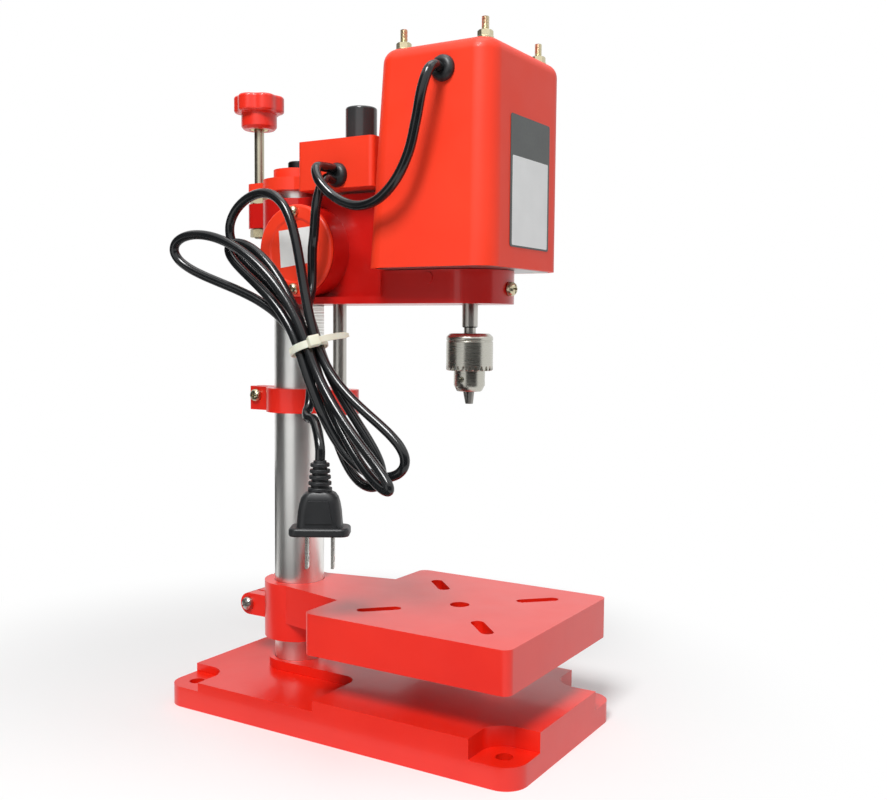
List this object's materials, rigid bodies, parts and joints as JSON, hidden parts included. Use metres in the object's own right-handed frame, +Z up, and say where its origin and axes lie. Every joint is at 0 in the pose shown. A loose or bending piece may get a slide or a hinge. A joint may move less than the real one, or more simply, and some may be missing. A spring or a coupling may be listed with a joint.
{
  "type": "mini bench drill press",
  "caption": "Small bench drill press: motor head fed down a toothed column over a clamped slotted table, with keyed chuck, depth stop and speed knob.",
  "frame": {"origin": "column axis at the plane that the base stands on", "axes": "+Z up along the column, -Y towards the spindle and the operator, +X towards the feed lever"},
  "size_m": [0.1567, 0.2353, 0.381],
  "materials": {
    "red_casting": "glossy deep red paint over a casting",
    "red_cover": "bright orange-red paint, satin",
    "red_plastic": "red moulded plastic",
    "steel": "bare satin steel",
    "zinc": "yellow zinc plating",
    "black_steel": "black oxide steel",
    "brass": "turned brass",
    "bronze": "sintered bronze",
    "copper": "copper and laminated iron",
    "aluminium": "die-cast aluminium",
    "black_plastic": "black moulded plastic",
    "rubber": "black rubber and vinyl",
    "nylon": "off-white nylon",
    "board": "green circuit board"
  },
  "bodies": {
    "frame": {"base": "red_casting", "column": "steel", "control_box": "red_cover", "box_floor": "red_cover", "speed_regulator": "board", "bracket_bolt": "black_steel", "control_gland": "rubber", "mid_clamp": "red_casting", "mid_clamp_screw": "zinc", "motor_lead": "rubber", "mains_cord": "rubber", "cord_hank": "rubber", "cord_tie": "nylon", "plug_lead": "rubber", "plug": "rubber", "plug_blade_1": "brass", "plug_blade_2": "brass"},
    "head": {"head_casting": "red_casting", "nose_screw": "zinc", "pot_cover": "red_casting", "pot_screw_upper": "zinc", "pot_screw_lower": "zinc", "clock_spring": "black_steel", "guide_rod": "steel", "stop_rod": "steel", "stop_nut_upper": "zinc", "stop_nut_lower": "zinc", "bush_left": "bronze", "bush_right": "bronze", "motor_plate": "steel", "tie_stud_1": "zinc", "tie_stud_2": "zinc", "tie_stud_3": "zinc", "tie_stud_4": "zinc", "stator": "black_steel", "bearing_lower": "steel", "bearing_upper": "steel", "end_bell": "aluminium", "motor_cover": "red_cover", "cover_gland": "rubber"},
    "lever": {"pinion_shaft": "steel", "lever_hub": "black_steel", "lever_rod": "steel", "lever_grip": "black_plastic"},
    "rotor": {"spindle": "steel", "armature": "copper", "commutator": "copper", "cooling_fan": "black_plastic", "chuck_body": "steel"},
    "sleeve": {"chuck_sleeve": "steel"},
    "jaw_1": {"chuck_jaw_1": "steel"},
    "jaw_2": {"chuck_jaw_2": "steel"},
    "jaw_3": {"chuck_jaw_3": "steel"},
    "knob_nut": {"knob_insert": "brass"},
    "knob": {"star_knob": "red_plastic"},
    "speed": {"speed_knob": "black_plastic", "speed_shaft": "aluminium"},
    "work_table": {"table": "red_casting", "table_nut": "steel"},
    "clamp_bolt": {"table_bolt": "steel"}
  },
  "joints": [
    {"name": "head_feed", "type": "slide", "parent": "frame", "child": "head", "axis": [0, 0, -1], "range_m": [0, 0.03], "stiffness_N_per_m": 500, "springref_m": -0.12, "deforming": ["motor_lead"]},
    {"name": "feed_lever", "type": "hinge", "parent": "head", "child": "lever", "pos_m": [0, -0.02405, 0.268], "axis": [1, 0, 0], "range_deg": [0, 147]},
    {"name": "spindle_spin", "type": "hinge", "parent": "head", "child": "rotor", "pos_m": [0, -0.1195, 0.25], "axis": [0, 0, 1], "continuous": true},
    {"name": "chuck_sleeve_turn", "type": "hinge", "parent": "rotor", "child": "sleeve", "pos_m": [0, -0.1195, 0.21], "axis": [0, 0, 1], "range_deg": [0, 1440]},
    {"name": "chuck_jaw_1_slide", "type": "slide", "parent": "rotor", "child": "jaw_1", "axis": [0.1889, 0, 0.982], "range_m": [0, 0.0048]},
    {"name": "chuck_jaw_2_slide", "type": "slide", "parent": "rotor", "child": "jaw_2", "axis": [-0.0944, 0.1636, 0.982], "range_m": [0, 0.0048]},
    {"name": "chuck_jaw_3_slide", "type": "slide", "parent": "rotor", "child": "jaw_3", "axis": [-0.0944, -0.1636, 0.982], "range_m": [0, 0.0048]},
    {"name": "depth_knob_travel", "type": "slide", "parent": "head", "child": "knob_nut", "axis": [0, 0, -1], "range_m": [-0.003, 0.0015]},
    {"name": "depth_knob_turn", "type": "hinge", "parent": "knob_nut", "child": "knob", "pos_m": [0, 0.0312, 0.36], "axis": [0, 0, 1], "range_deg": [-540.5, 1080.5]},
    {"name": "speed_knob_turn", "type": "hinge", "parent": "frame", "child": "speed", "pos_m": [0, -0.046, 0.34], "axis": [0, 0, 1], "range_deg": [0, 270]},
    {"name": "table_lift", "type": "slide", "parent": "frame", "child": "work_table", "axis": [0, 0, 1], "range_m": [-0.012, 0.065]},
    {"name": "table_bolt_turn", "type": "hinge", "parent": "work_table", "child": "clamp_bolt", "pos_m": [0, 0.0334, 0.0515], "axis": [1, 0, 0], "range_deg": [0, 180]}
  ],
  "couplings": [
    {"joint": "feed_lever", "follows": "head_feed", "rad_per_m": 85.47},
    {"joint": "chuck_jaw_1_slide", "follows": "chuck_sleeve_turn", "m_per_rad": 0.00019},
    {"joint": "chuck_jaw_2_slide", "follows": "chuck_sleeve_turn", "m_per_rad": 0.00019},
    {"joint": "chuck_jaw_3_slide", "follows": "chuck_sleeve_turn", "m_per_rad": 0.00019},
    {"joint": "depth_knob_turn", "follows": "depth_knob_travel", "rad_per_m": -6283.4}
  ]
}
